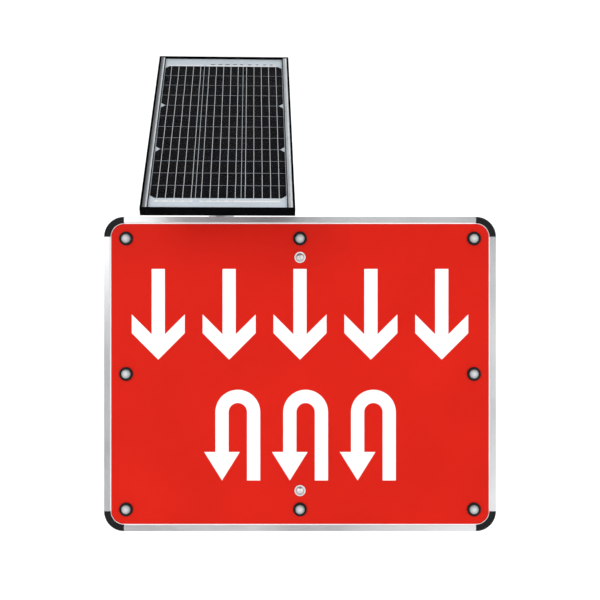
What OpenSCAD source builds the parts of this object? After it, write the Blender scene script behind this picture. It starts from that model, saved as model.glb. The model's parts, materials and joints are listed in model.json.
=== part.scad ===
// Solar powered flashing traffic sign: a framed two-row sign face with eight warning lamps, two back rails with
// post studs, a short mast with a swivelling and tilting solar panel, and a battery cabinet behind the sign.
// Axes: X to the right seen from the front, Y towards the back, Z up.
// Origin: midway between the two post studs, on the rear face of the back rails.

/* [Sign face] */
// Overall width of the framed sign
sign_w = 768; // [700:1:900]
// Overall height of the framed sign
sign_h = 616; // [560:1:700]
// Outside radius of the corner caps
corner_r = 39; // [34:1:45]
// Thickness of the aluminium blank
blank_t = 2; // [1.5:0.1:3]
// Thickness of the white reflective sheeting
sheet_t = 0.4; // [0.2:0.1:0.8]
// Thickness of the red transparent overlay
overlay_t = 0.25; // [0.2:0.05:0.5]
// Width of the white border between the frame lip and the red overlay
border_w = 2.4; // [1:0.1:6]
// Height of a symbol
symbol_h = 178; // [150:1:190]
// Stroke width of a symbol
stroke = 26; // [20:1:30]
// Number of symbols in the upper row
upper_count = 5; // [3:1:5]
// Spacing of the symbols in the upper row
upper_pitch = 139; // [120:1:140]
// Height of the upper row's centre above the sign's centre
upper_z = 117; // [105:1:125]
// Number of symbols in the lower row
lower_count = 3; // [1:1:5]
// Spacing of the symbols in the lower row
lower_pitch = 133; // [120:1:140]
// Height of the lower row's centre above the sign's centre
lower_z = -120; // [-125:1:-105]

/* [Edge frame] */
// Width of the frame lip over the sign face
lip_w = 11.3; // [8:0.1:14]
// Depth of the frame from its front face
frame_d = 25; // [22:1:30]
// Width of the wiring raceway behind the blank
raceway_w = 24; // [20:1:28]
cap_lip_w = lip_w + border_w / 2;
// Wall thickness of the frame extrusion
frame_t = 2; // [1.5:0.1:2.5]

/* [Warning lamps] */
// Distance of the corner lamps from the centreline
lamp_x = 341; // [335:1:345]
// Height of the corner lamps above the sign's centre
lamp_z = 265.5; // [260:0.5:268]
// Outside radius of a lamp bezel
bezel_r = 13.5; // [12:0.1:16]
// Radius of a lamp lens
lens_r = 9.4; // [8.5:0.1:9.5]

/* [Post fixing] */
// Distance between the two post studs
stud_spacing = 457.2; // [457.2:0.1:457.2]
// Radius of the free part of a stud
stud_r = 4.76; // [4.76:0.01:4.76]
// Length of stud behind the rails
stud_len = 76; // [60:1:100]
// Height of the back rails
rail_h = 38; // [30:1:38]
// Depth of the back rails
rail_d = 21; // [19:1:23]

/* [Mast] */
// Distance of the mast from the sign's centreline
mast_x = -158; // [-200:1:-150]
// Distance of the mast's axis behind the rails
mast_y = 30; // [28:1:34]
// Outside radius of the mast tube
mast_r = 25.4; // [24:0.1:25.4]
// Top of the mast
mast_top = 352; // [345:1:356]

/* [Solar panel] */
// Width of the solar panel
panel_w = 281; // [270:1:300]
// Length of the solar panel
panel_l = 554; // [540:1:580]
// Thickness of the solar panel
panel_t = 16.5; // [16:0.5:20]
// Slope of the panel from the horizontal at rest
panel_slope = 41.6; // [30:0.1:50]
// Azimuth of the panel at rest
panel_yaw = 2.4; // [-5:0.1:5]
// Height of the tilt pivot above the sign's centre
pivot_z = 414; // [410:1:420]
// Distance from the tilt pivot to the panel's rear face
pivot_depth = 54; // [52:1:56]
// Distance of the panel's centre up the slope from the pivot
pivot_offset = 41.2; // [30:0.1:50]
// Tilt towards the horizontal from rest
tilt_flatter = 38; // [20:1:40]
// Tilt towards the vertical from rest
tilt_steeper = 12; // [5:1:12]

/* [Cabinet] */
// Width of the cabinet
cab_w = 220; // [210:1:220]
// Height of the cabinet
cab_h = 260; // [250:1:280]
// Depth of the cabinet shell
cab_d = 90; // [85:1:100]
// Height of the cabinet's centre above the sign's centre
cab_z = -20; // [-40:1:10]
// Wall thickness of the cabinet
cab_t = 2; // [1.5:0.1:2.5]

/* [Hidden] */
$fn = 64;

aluminium = [0.72, 0.73, 0.74];
black_plastic = [0.06, 0.06, 0.07];
steel = [0.62, 0.63, 0.65];

// Planes of the sign head, as Y values: the rails' rear face is 0
blank_back = -rail_d;
blank_front = blank_back - blank_t;
sheet_front = blank_front - sheet_t;
overlay_front = sheet_front - overlay_t;
frame_front = sheet_front - frame_t;
frame_back = frame_front + frame_d;
blank_gap = 3;
blank_w = sign_w - 2 * blank_gap;
blank_h = sign_h - 2 * blank_gap;
end_x = sign_w / 2 - corner_r;
end_z = sign_h / 2 - corner_r;
race_x = sign_w / 2 - raceway_w;
race_z = sign_h / 2 - raceway_w;
ledge_w = 1.6;
ledge_y = frame_back - 3.8;
wire_u = raceway_w / 2;
wire_y = -12;
wire_r = 2.5;
lead_r = 1.8;

barrel_r = 9;
lamp_hole_r = barrel_r + 0.25;
bolt_hole_r = 4.9;
rail_z = stud_spacing / 2;
rail_len = 2 * race_x - 1;
rail_t = 2;
rail_edge = rail_z - rail_h / 2;

fit_gap = 0.05;
seat_r = mast_r + fit_gap;
mast_wall = 3;
mast_bottom = -262;
clamp_bolt_x = 40;
saddle_w = 100;
saddle_h = 34;
clamp_split = 1.5;

screw_r = 2.5;
bracket_t = 3;
bracket_len = 25;
bracket_screw_x = race_x - 14;
bracket_screw_z = rail_edge - 18;
bracket_y = -11;
gland_stem_r = 6;
sign_gland_x = mast_x + 60;

lug_w = 16;
lug_r = 18;
cheek_t = 5;
cheek_gap = 0.5;
cheek_r = 42;
cheek_x = lug_w / 2 + cheek_gap;
cheek_out = cheek_x + cheek_t + 0.2;
pivot_r = 6;
lock_r = 4;
lock_arm = 32;
slot_w = 2 * lock_r + 0.8;
cup_r = 31;
cup_bottom = 322;
screw_z = 336;
bearing_t = 3;
cup_ceiling = mast_top + bearing_t + fit_gap;
cup_top = cup_ceiling + 6;

panel_back = pivot_depth;
panel_front = pivot_depth + panel_t;
rear_flange = 18;
laminate_back = panel_front - 6;
panel_lip = 4;
lip_t = 1.4;
glass_front = panel_front - 2;
glass_back = laminate_back + 0.9;
trim_w = 8.5;
rail_offset = 130;
frame_screw_x = panel_w / 2 - 11;
panel_rail_w = 24;
panel_rail_d = 20;
spine_t = 5;
cell_cols = 3;
cell_rows = 12;
cell_gap = 1;
cell_pitch_x = 83.8;
cell_pitch_y = 40.2;
cell_shift = 2.2;
wafer_cut = 8.5;
junction_y = pivot_offset + 194;
junction_size = [90, 60, 20];

cab_y = 62;
cab_rim_y = cab_y + cab_d;
rim_w = 14;
door_y = cab_rim_y + 1;
door_d = 9;
door_face = door_y + door_d;
hinge_x = mast_x - cab_w / 2 - 5.5;
hinge_y = door_y + 4.5;
hinge_len = 42;
hinge_z = [cab_z - 100, cab_z + 58];
knuckle_r = 5;
pin_r = 2.5;
lock_x = mast_x + cab_w / 2 - 30;
lock_z = cab_z;
barrel_lock_r = 8;
gland_x = [mast_x - 92, mast_x + 92];
gland_y = cab_y + cab_d / 2;
band_z = [cab_z - 80, cab_z + 112];
battery_size = [151, 65, 94];
battery_x = mast_x - battery_size[0] / 2;
battery_y = cab_y + cab_t + 5;
battery_z = cab_z - cab_h / 2 + cab_t;
controller_size = [120, 28, 80];
controller_z = cab_z + 20;
rocker_z = controller_z + 58;
rocker_x = mast_x + 40;
rocker_tilt = 10;
rocker_pin_r = 1.5;
controller_front = cab_y + cab_t + controller_size[1];
rocker_y = controller_front - 2;

lamp_places = [
    for (sx = [-1, 0, 1], sz = [-1, 0, 1])
        if (abs(sx) + abs(sz) > 0) [sx * lamp_x, sz * lamp_z]
];

// Flat shapes

module rounded(w, h, r) {
    square([w - 2 * r, h], center = true);
    square([w, h - 2 * r], center = true);
    for (x = [-1, 1], y = [-1, 1])
        translate([x * (w / 2 - r), y * (h / 2 - r)]) circle(r);
}

module arrow_symbol() {
    half_w = 2 * stroke;
    rise = stroke * sqrt(2);
    tip = -symbol_h / 2;
    translate([-stroke / 2, tip + stroke]) square([stroke, symbol_h - stroke]);
    polygon([
        [0, tip], [half_w, tip + half_w], [half_w, tip + half_w + rise],
        [0, tip + rise], [-half_w, tip + half_w + rise], [-half_w, tip + half_w]
    ]);
}

module turn_symbol() {
    bend_r = 31;
    bend_x = 11;
    bend_y = symbol_h / 2 - bend_r - stroke / 2;
    head_w = 70;
    head_h = 56;
    tip = -symbol_h / 2;
    translate([bend_x + bend_r - stroke / 2, tip]) square([stroke, bend_y - tip]);
    translate([bend_x - bend_r - stroke / 2, tip + head_h - 1]) square([stroke, bend_y - tip - head_h + 1]);
    translate([bend_x, bend_y]) difference() {
        circle(bend_r + stroke / 2);
        circle(bend_r - stroke / 2);
        translate([-100, -200]) square(200);
    }
    translate([bend_x - bend_r, tip]) polygon([[0, 0], [head_w / 2, head_h], [-head_w / 2, head_h]]);
}

// Stands a flat shape up: its Y becomes Z, and it reaches from the front plane y by the thickness t towards the back
module standing(y, t) {
    translate([0, y + t, 0]) rotate([90, 0, 0]) linear_extrude(height = t) children();
}

// A cylinder along Y that starts at y
module rod_y(x, y, z, r, len) {
    translate([x, y, z]) rotate([-90, 0, 0]) cylinder(r = r, h = len);
}

// A cylinder along X, centred
module rod_x(x, y, z, r, len) {
    translate([x, y, z]) rotate([0, 90, 0]) cylinder(r = r, h = len, center = true);
}

module lamp_and_bolt_holes() {
    for (p = lamp_places) translate(p) circle(lamp_hole_r);
    for (s = [-1, 1]) translate([0, s * rail_z]) circle(bolt_hole_r);
}

// Sign face

module sign_blank() {
    color(aluminium) standing(blank_front, blank_t) difference() {
        rounded(blank_w, blank_h, corner_r - blank_gap);
        lamp_and_bolt_holes();
    }
}

module white_sheeting() {
    color("white") standing(sheet_front, sheet_t) difference() {
        rounded(blank_w, blank_h, corner_r - blank_gap);
        lamp_and_bolt_holes();
    }
}

module red_overlay() {
    inset = lip_w + border_w;
    color([0.83, 0.12, 0.09]) standing(overlay_front, overlay_t) difference() {
        rounded(sign_w - 2 * inset, sign_h - 2 * inset, corner_r - inset);
        lamp_and_bolt_holes();
        for (i = [0 : upper_count - 1])
            translate([(i - (upper_count - 1) / 2) * upper_pitch, upper_z]) arrow_symbol();
        for (i = [0 : lower_count - 1])
            translate([(i - (lower_count - 1) / 2) * lower_pitch, lower_z]) turn_symbol();
    }
}

// Edge frame. The section lies in X (0 at the outer face, negative inwards) and Y (depth)

module wall_section(u, w, y0, y1) {
    translate([-u - w, y0]) square([w, y1 - y0]);
}

module frame_section() {
    wall_section(0, frame_t, frame_front, frame_back);
    wall_section(0, lip_w, frame_front, sheet_front);
    wall_section(0, raceway_w, blank_back, blank_back + frame_t);
    wall_section(raceway_w - frame_t, frame_t, blank_back, frame_back);
}

module ledge_section() {
    for (u = [frame_t, raceway_w - frame_t - ledge_w]) wall_section(u, ledge_w, ledge_y, ledge_y + 1);
}

module cover_section() {
    gap = 0.15;
    wall_section(frame_t + gap, raceway_w - 2 * frame_t - 2 * gap, ledge_y + 1.05, ledge_y + 2.8);
    for (side = [0, 1]) {
        leg_u = side == 0 ? 4 : raceway_w - 5.2;
        barb_u = side == 0 ? 3 : raceway_w - 4;
        wall_section(leg_u, 1.2, ledge_y - 4, ledge_y + 1.1);
        wall_section(barb_u, 1, ledge_y - 1.8, ledge_y - 0.2);
    }
}

// Runs a section along one side of the sign: angle 0 is the top, 90 the right side seen from the front
module along_side(angle, reach, len) {
    rotate([0, angle, 0]) translate([0, 0, reach]) rotate([0, -90, 0]) linear_extrude(height = len, center = true)
        children();
}

module frame_member(angle, reach, lamp, len) {
    color(aluminium) difference() {
        along_side(angle, reach, len) {
            frame_section();
            ledge_section();
        }
        rotate([0, angle, 0]) translate([0, wire_y, lamp]) cylinder(r = lead_r + 0.3, h = reach - lamp - 8);
        at_brackets() rod_x(race_x, bracket_y, bracket_screw_z, screw_r + 0.1, 8);
        translate([sign_gland_x, bracket_y, race_z]) cylinder(r = gland_stem_r + 0.1, h = 2 * frame_t + 2, center = true);
    }
}

module frame_top() { frame_member(0, sign_h / 2, lamp_z, 2 * end_x); }
module frame_bottom() { frame_member(180, sign_h / 2, lamp_z, 2 * end_x); }
module frame_left() { frame_member(270, sign_w / 2, lamp_x, 2 * end_z); }
module frame_right() { frame_member(90, sign_w / 2, lamp_x, 2 * end_z); }

module cap_tongue() {
    len = 18;
    inner = corner_r - raceway_w + frame_t + 0.3;
    outer = corner_r - frame_t - 0.3;
    floor_y = blank_back + frame_t + 0.1;
    translate([inner, floor_y - 0.5, -3]) cube([outer - inner, 2, 3]);
    translate([inner, floor_y, -0.5]) cube([outer - inner, 1.5, len + 0.5]);
    for (x = [inner, outer - 1.5]) translate([x, floor_y, -0.5]) cube([1.5, 9, len + 0.5]);
}

// One quarter-round cap, drawn for the lower right corner about its bend centre
module corner_cap() {
    rotate([-90, 0, 0]) rotate_extrude(angle = 90) translate([corner_r, 0]) {
        frame_section();
        wall_section(0, cap_lip_w, frame_front, sheet_front);
        wall_section(0, raceway_w, frame_back - 2, frame_back);
    }
    cap_tongue();
    mirror([1, 0, 1]) cap_tongue();
}

module corner_caps() {
    color(black_plastic) difference() {
        for (k = [0 : 3]) {
            sx = k == 0 || k == 3 ? 1 : -1;
            sz = k == 0 || k == 1 ? -1 : 1;
            translate([sx * end_x, 0, sz * end_z]) mirror([sx < 0 ? 1 : 0, 0, 0]) mirror([0, 0, sz > 0 ? 1 : 0])
                corner_cap();
        }
        lamp_leads(lead_r + 0.3, 0, 30);
    }
}

module raceway_covers() {
    color(aluminium) for (k = [0 : 3]) {
        flat = k % 2 == 0;
        along_side(90 * k, (flat ? sign_h : sign_w) / 2, 2 * (flat ? end_x : end_z) - 1) cover_section();
    }
}

// Warning lamps

function lead_angle(p) =
    p[0] == 0 ? (p[1] > 0 ? 90 : -90)
    : p[1] == 0 ? (p[0] > 0 ? 0 : 180)
    : atan2(sign(p[1]) * (end_z - lamp_z), sign(p[0]) * (end_x - lamp_x));

function lead_reach(p) =
    p[0] == 0 ? sign_h / 2 - wire_u - lamp_z
    : p[1] == 0 ? sign_w / 2 - wire_u - lamp_x
    : norm([end_x - lamp_x, end_z - lamp_z]) + corner_r - wire_u;

module at_lamps() {
    for (p = lamp_places) translate([p[0], 0, p[1]]) rotate([-90, 0, 0]) children();
}

module lamp_leads(r, from, len) {
    for (p = lamp_places) translate([p[0], wire_y, p[1]]) rotate([0, -lead_angle(p), 0]) translate([from, 0, 0])
        rotate([0, 90, 0]) cylinder(r = r, h = len > 0 ? len - from : lead_reach(p) - from);
}

module led_bezels() {
    flange_front = overlay_front - 3.75;
    cup_back = -8;
    color(black_plastic) difference() {
        at_lamps() rotate_extrude() polygon([
            [0, cup_back], [barrel_r, cup_back], [barrel_r, overlay_front], [bezel_r, overlay_front],
            [bezel_r, flange_front + 1.2], [bezel_r - 1.2, flange_front], [lens_r + 0.8, flange_front],
            [lens_r + 0.1, flange_front + 0.7], [lens_r + 0.1, overlay_front - 0.7], [7.6, overlay_front - 0.7],
            [7.6, cup_back - 1], [0, cup_back - 1]
        ]);
        lamp_leads(lead_r + 0.1, 5, 12);
    }
}

module led_lenses() {
    seat = overlay_front - 0.75;
    rim = overlay_front - 3;
    dome_h = 4.2;
    dome_r = (lens_r * lens_r + dome_h * dome_h) / (2 * dome_h);
    color([0.86, 0.88, 0.9]) at_lamps() {
        translate([0, 0, rim]) cylinder(r = lens_r, h = seat - rim);
        intersection() {
            translate([0, 0, rim - dome_h + dome_r]) sphere(dome_r);
            translate([0, 0, rim - dome_h - 1]) cylinder(r = lens_r, h = dome_h + 1.01);
        }
    }
}

module led_boards() {
    color([0.1, 0.35, 0.2]) at_lamps() {
        translate([0, 0, -19]) cylinder(r = 7.3, h = 1.6);
        translate([0, 0, -21.4]) cylinder(r = 2.5, h = 2.5);
    }
}

module led_gaskets() {
    color(black_plastic) at_lamps() translate([0, 0, blank_back]) difference() {
        cylinder(r = bezel_r, h = 1.2);
        translate([0, 0, -1]) cylinder(r = lamp_hole_r, h = 4);
    }
}

module led_nuts() {
    color(black_plastic) at_lamps() translate([0, 0, blank_back + 1.2]) difference() {
        cylinder(r = 15.4, h = 5, $fn = 6);
        translate([0, 0, -1]) cylinder(r = barrel_r + 0.1, h = 8);
    }
}

module led_harness() {
    bend_r = corner_r - wire_u;
    color(black_plastic) {
        for (s = [-1, 1]) {
            rod_x(0, wire_y, s * (sign_h / 2 - wire_u), wire_r, 2 * end_x);
            translate([s * (sign_w / 2 - wire_u), wire_y, 0]) cylinder(r = wire_r, h = 2 * end_z, center = true);
        }
        for (sx = [-1, 1], sz = [-1, 1])
            translate([sx * end_x, wire_y, sz * end_z]) mirror([sx < 0 ? 1 : 0, 0, 0])
                mirror([0, 0, sz > 0 ? 1 : 0]) rotate([-90, 0, 0]) rotate_extrude(angle = 90)
                    translate([bend_r, 0]) circle(wire_r);
        lamp_leads(lead_r, 4, 0);
    }
}

// Back rails and post studs

module back_rail(side) {
    z = side * rail_z;
    color(aluminium) difference() {
        translate([-rail_len / 2, -rail_d, z - rail_h / 2]) cube([rail_len, rail_d, rail_h]);
        translate([-rail_len, -rail_d + rail_t, z - rail_h / 2 + rail_t])
            cube([2 * rail_len, rail_d - 2 * rail_t, rail_h - 2 * rail_t]);
        rod_y(0, -rail_d - 1, z, bolt_hole_r, rail_t + 2);
        rod_y(0, -rail_t - 1, z, 12, rail_t + 2);
        for (s = [-1, 1]) rod_y(mast_x + s * clamp_bolt_x, -rail_t - 1, z, 4.2, rail_t + 2);
        for (s = [-1, 1]) translate([s * bracket_screw_x, bracket_y, z - side * rail_h / 2])
            cylinder(r = screw_r + 0.1, h = 3 * rail_t, center = true);
    }
}

module rail_upper() { back_rail(1); }
module rail_lower() { back_rail(-1); }

// The corners where the rails meet the frame, each seen as if it were the upper right one
module at_brackets() {
    for (sx = [-1, 1], sz = [-1, 1])
        mirror([sx < 0 ? 1 : 0, 0, 0]) mirror([0, 0, sz < 0 ? 1 : 0]) children();
}

module rail_brackets() {
    color(steel) at_brackets() difference() {
        union() {
            translate([race_x - bracket_len, -18, rail_edge - bracket_t]) cube([bracket_len, 15, bracket_t]);
            translate([race_x - bracket_t, -18, rail_edge - 30]) cube([bracket_t, 15, 30]);
        }
        translate([bracket_screw_x, bracket_y, rail_edge]) cylinder(r = screw_r + 0.1, h = 20, center = true);
        rod_x(race_x, bracket_y, bracket_screw_z, screw_r + 0.1, 20);
    }
}

// A pan-head screw along Z with its head below 0
module pan_screw() {
    translate([0, 0, -3]) cylinder(r = 4.6, h = 3);
    translate([0, 0, -1]) cylinder(r = screw_r, h = 10);
}

module bracket_screws() {
    color(steel) {
        at_brackets() {
            translate([bracket_screw_x, bracket_y, rail_edge - bracket_t]) pan_screw();
            translate([race_x - bracket_t, bracket_y, bracket_screw_z]) rotate([0, 90, 0]) pan_screw();
        }
        for (z = band_z, s = [-1, 1])
            translate([mast_x + s * 24, cab_y + cab_t, z]) rotate([90, 0, 0]) pan_screw();
    }
}

module mount_bolts() {
    head_y = overlay_front - 1.6;
    head_r = 8.3;
    head_h = 5;
    dome_r = (head_r * head_r + head_h * head_h) / (2 * head_h);
    shank_r = 4.4;
    color(steel) for (s = [-1, 1]) {
        difference() {
            translate([0, 0, s * rail_z]) rotate([-90, 0, 0]) intersection() {
                translate([0, 0, head_y - head_h + dome_r]) sphere(dome_r);
                translate([0, 0, head_y - head_h - 1]) cylinder(r = head_r, h = head_h + 1);
            }
            for (a = [0, 90]) translate([0, head_y - head_h, s * rail_z]) rotate([0, a, 0])
                cube([8.4, 4.4, 1.8], center = true);
        }
        rod_y(0, head_y - 0.5, s * rail_z, shank_r, 0.5 - head_y);
        rod_y(0, 0, s * rail_z, stud_r, stud_len);
    }
}

module mount_washers() {
    color(steel) for (s = [-1, 1]) {
        difference() {
            rod_y(0, overlay_front - 1.6, s * rail_z, 11, 1.6);
            rod_y(0, overlay_front - 3, s * rail_z, bolt_hole_r, 6);
        }
        difference() {
            rod_y(0, -rail_d + rail_t, s * rail_z, 10, 1.5);
            rod_y(0, -rail_d, s * rail_z, bolt_hole_r, 6);
        }
    }
}

module mount_nuts() {
    color(steel) for (s = [-1, 1]) difference() {
        translate([0, -rail_d + rail_t + 1.5, s * rail_z]) rotate([-90, 0, 0]) cylinder(r = 8.2, h = 6, $fn = 6);
        rod_y(0, -rail_d, s * rail_z, 4.45, 20);
    }
}

// Mast and its clamps

module at_clamps() {
    for (s = [-1, 1]) translate([mast_x, 0, s * rail_z]) children();
}

module mast_tube() {
    color(steel) translate([mast_x, mast_y, mast_bottom]) difference() {
        cylinder(r = mast_r, h = mast_top - mast_bottom);
        translate([0, 0, -1]) cylinder(r = mast_r - mast_wall, h = mast_top - mast_bottom + 2);
    }
}

module mast_end_cap() {
    color(black_plastic) translate([mast_x, mast_y, mast_bottom]) {
        translate([0, 0, -3]) cylinder(r = mast_r, h = 3);
        cylinder(r = mast_r - mast_wall - fit_gap, h = 15);
    }
}

module mast_bearing() {
    color([0.9, 0.9, 0.86]) translate([mast_x, mast_y, mast_top]) {
        cylinder(r = mast_r, h = bearing_t);
        translate([0, 0, -15]) cylinder(r = mast_r - mast_wall - fit_gap, h = 15);
    }
}

module clamp_bolt_holes() {
    for (s = [-1, 1]) rod_y(s * clamp_bolt_x, -1, 0, 4.2, 60);
}

module mast_saddles() {
    color(aluminium) at_clamps() difference() {
        translate([-saddle_w / 2, 0, -saddle_h / 2]) cube([saddle_w, mast_y - clamp_split, saddle_h]);
        translate([0, mast_y, 0]) cylinder(r = seat_r, h = 2 * saddle_h, center = true);
        clamp_bolt_holes();
    }
}

module mast_clamps() {
    ear_t = 7;
    color(aluminium) at_clamps() difference() {
        union() {
            translate([0, mast_y, 0]) cylinder(r = seat_r + 6, h = saddle_h, center = true);
            translate([-saddle_w / 2, mast_y + clamp_split, -saddle_h / 2]) cube([saddle_w, ear_t, saddle_h]);
        }
        translate([0, mast_y, 0]) cylinder(r = seat_r, h = 2 * saddle_h, center = true);
        translate([-saddle_w, mast_y + clamp_split - 100, -saddle_h]) cube([2 * saddle_w, 100, 2 * saddle_h]);
        clamp_bolt_holes();
    }
}

module clamp_bolts() {
    head_y = mast_y + clamp_split + 7;
    color(steel) at_clamps() for (s = [-1, 1]) {
        rod_y(s * clamp_bolt_x, -14, 0, 4, head_y + 14);
        translate([s * clamp_bolt_x, head_y, 0]) rotate([-90, 0, 0]) {
            cylinder(r = 7.5, h = 5.3, $fn = 6);
            cylinder(r = 8.5, h = 1.2);
        }
    }
}

module clamp_nuts() {
    color(steel) at_clamps() for (s = [-1, 1]) difference() {
        translate([s * clamp_bolt_x - 8, -rail_t - 5, -8]) cube([16, 5, 16]);
        rod_y(s * clamp_bolt_x, -rail_t - 10, 0, 4.05, 20);
    }
}

// Cabinet

module cabinet_shell() {
    x0 = mast_x - cab_w / 2;
    z0 = cab_z - cab_h / 2;
    color([0.78, 0.79, 0.8]) difference() {
        union() {
            difference() {
                translate([x0, cab_y, z0]) cube([cab_w, cab_d, cab_h]);
                translate([x0 + cab_t, cab_y + cab_t, z0 + cab_t])
                    cube([cab_w - 2 * cab_t, cab_d - 2 * cab_t, cab_h - 2 * cab_t]);
                translate([x0 + rim_w, cab_y + cab_d / 2, z0 + rim_w])
                    cube([cab_w - 2 * rim_w, cab_d, cab_h - 2 * rim_w]);
            }
            for (z = hinge_z) fixed_hinge(x0, z);
        }
        for (g = gland_x) translate([g, gland_y, z0 - 1]) cylinder(r = gland_stem_r + 0.1, h = cab_t + 2);
        for (z = band_z, s = [-1, 1]) rod_y(mast_x + s * 24, cab_y - 1, z, screw_r + 0.1, cab_t + 2);
    }
}

// The leaf on the cabinet's side with its two outer knuckles
module fixed_hinge(x0, z) {
    third = hinge_len / 3;
    difference() {
        union() {
            translate([x0 - 2, cab_rim_y - 26, z]) cube([2, 24, hinge_len]);
            for (k = [0, 2]) translate([0, 0, z + k * third]) {
                translate([hinge_x, hinge_y, 0]) cylinder(r = knuckle_r, h = third);
                translate([hinge_x - knuckle_r, cab_rim_y - 3, 0]) cube([3.5, hinge_y - cab_rim_y + 3, third]);
                translate([hinge_x - knuckle_r, cab_rim_y - 3, 0])
                    cube([x0 - hinge_x + knuckle_r, 2.5, third]);
            }
        }
        translate([hinge_x, hinge_y, z - 1]) cylinder(r = pin_r + 0.02, h = hinge_len + 2);
    }
}

module hinge_pins() {
    color(steel) for (z = hinge_z) translate([hinge_x, hinge_y, z]) {
        translate([0, 0, -1.5]) cylinder(r = pin_r, h = hinge_len + 3);
        translate([0, 0, hinge_len + 0.2]) cylinder(r = 4, h = 2);
    }
}

module cabinet_door() {
    x0 = mast_x - cab_w / 2;
    z0 = cab_z - cab_h / 2;
    third = hinge_len / 3;
    color([0.78, 0.79, 0.8]) difference() {
        union() {
            difference() {
                translate([x0, door_y, z0]) cube([cab_w, door_d, cab_h]);
                translate([x0 + cab_t, door_y - 1, z0 + cab_t])
                    cube([cab_w - 2 * cab_t, door_d - cab_t + 1, cab_h - 2 * cab_t]);
            }
            for (z = hinge_z) translate([0, 0, z + third + 0.3]) {
                translate([hinge_x, hinge_y, 0]) cylinder(r = knuckle_r, h = third - 0.6);
                translate([hinge_x, hinge_y + 1, 0]) cube([x0 - hinge_x + 0.5, knuckle_r - 1.5, third - 0.6]);
            }
        }
        for (z = hinge_z) translate([hinge_x, hinge_y, z]) cylinder(r = pin_r + fit_gap, h = hinge_len);
        rod_y(lock_x, door_y - 5, lock_z, barrel_lock_r + fit_gap, 30);
    }
}

module door_gasket() {
    inset = 4;
    width = 7;
    x0 = mast_x - cab_w / 2 + inset;
    z0 = cab_z - cab_h / 2 + inset;
    w = cab_w - 2 * inset;
    h = cab_h - 2 * inset;
    depth = door_face - cab_t - cab_rim_y - 0.3;
    color(black_plastic) difference() {
        translate([x0, cab_rim_y + 0.3, z0]) cube([w, depth, h]);
        translate([x0 + width, cab_rim_y - 1, z0 + width]) cube([w - 2 * width, 20, h - 2 * width]);
    }
}

module lock_barrel() {
    color(steel) difference() {
        union() {
            rod_y(lock_x, cab_rim_y - 12, lock_z, 5, 12);
            rod_y(lock_x, cab_rim_y, lock_z, barrel_lock_r, door_face - cab_rim_y + 0.1);
            rod_y(lock_x, door_face + 0.1, lock_z, 11, 3.5);
        }
        translate([lock_x, door_face + 1, lock_z]) rotate([-90, 0, 0]) cylinder(r = 5, h = 5, $fn = 3);
    }
}

module lock_cam() {
    cam_y = cab_rim_y - cab_t - 4.5;
    color(steel) difference() {
        union() {
            rod_y(lock_x, cam_y, lock_z, 9, 3);
            translate([lock_x - 6, cam_y, lock_z - 24]) cube([12, 3, 24]);
        }
        rod_y(lock_x, cam_y - 5, lock_z, 5.02, 20);
    }
}

module cabinet_brackets() {
    color(steel) for (z = band_z) difference() {
        translate([mast_x - 32, cab_y - 14, z - 14]) cube([64, 14, 28]);
        translate([mast_x, mast_y, z]) cylinder(r = seat_r, h = 60, center = true);
        translate([mast_x, mast_y, z]) cylinder(r = seat_r + 2.5, h = 14, center = true);
        for (s = [-1, 1]) rod_y(mast_x + s * 24, cab_y - 15, z, screw_r + 0.1, 20);
    }
}

module cabinet_bands() {
    color(steel) for (z = band_z) difference() {
        union() {
            translate([mast_x, mast_y, z]) cylinder(r = seat_r + 1.6, h = 12, center = true);
            translate([mast_x - seat_r - 9, mast_y - 9, z - 6]) cube([9, 18, 12]);
            rod_y(mast_x - seat_r - 5, mast_y - 16, z, 3.5, 32);
        }
        translate([mast_x, mast_y, z]) cylinder(r = seat_r, h = 60, center = true);
    }
}

module battery() {
    color([0.18, 0.19, 0.22]) {
        translate([battery_x, battery_y, battery_z]) cube([battery_size[0], battery_size[1], battery_size[2] - 2]);
        translate([battery_x + 6, battery_y + 6, battery_z])
            cube([battery_size[0] - 12, battery_size[1] - 12, battery_size[2]]);
        for (s = [-1, 1]) translate([mast_x + s * 62, battery_y + 12, battery_z + battery_size[2] - 1])
            cube([5, 0.9, 8]);
    }
}

module battery_strap() {
    strap_t = 1.5;
    strap_h = 20;
    half = battery_size[0] / 2 + 0.3;
    wall_y = cab_y + cab_t;
    front_y = battery_y + battery_size[1] + 0.3;
    color(steel) translate([mast_x, 0, battery_z + 50]) {
        translate([-half - strap_t, front_y, 0]) cube([2 * (half + strap_t), strap_t, strap_h]);
        for (s = [0, 1]) mirror([s, 0, 0]) translate([half, wall_y, 0]) {
            cube([strap_t, front_y - wall_y + 1, strap_h]);
            cube([18, strap_t, strap_h]);
            translate([10, 1, strap_h / 2]) rotate([-90, 0, 0]) cylinder(r = 5, h = 3.5, $fn = 6);
        }
    }
}

module flash_controller() {
    x0 = mast_x - controller_size[0] / 2;
    y0 = cab_y + cab_t;
    pocket_w = 13.2;
    pocket_h = 20.6;
    color([0.2, 0.23, 0.26]) difference() {
        union() {
            translate([x0, y0, controller_z]) cube([controller_size[0], controller_size[1], controller_size[2]]);
            for (s = [-1, 1]) translate([mast_x + s * (controller_size[0] / 2 + 5) - 6, y0, controller_z + 8])
                cube([12, 3, controller_size[2] - 16]);
        }
        translate([rocker_x - pocket_w / 2, rocker_y - 6, rocker_z - pocket_h / 2]) cube([pocket_w, 20, pocket_h]);
        rod_x(rocker_x, rocker_y, rocker_z, rocker_pin_r + fit_gap, pocket_w + 3.4);
    }
}

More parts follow.
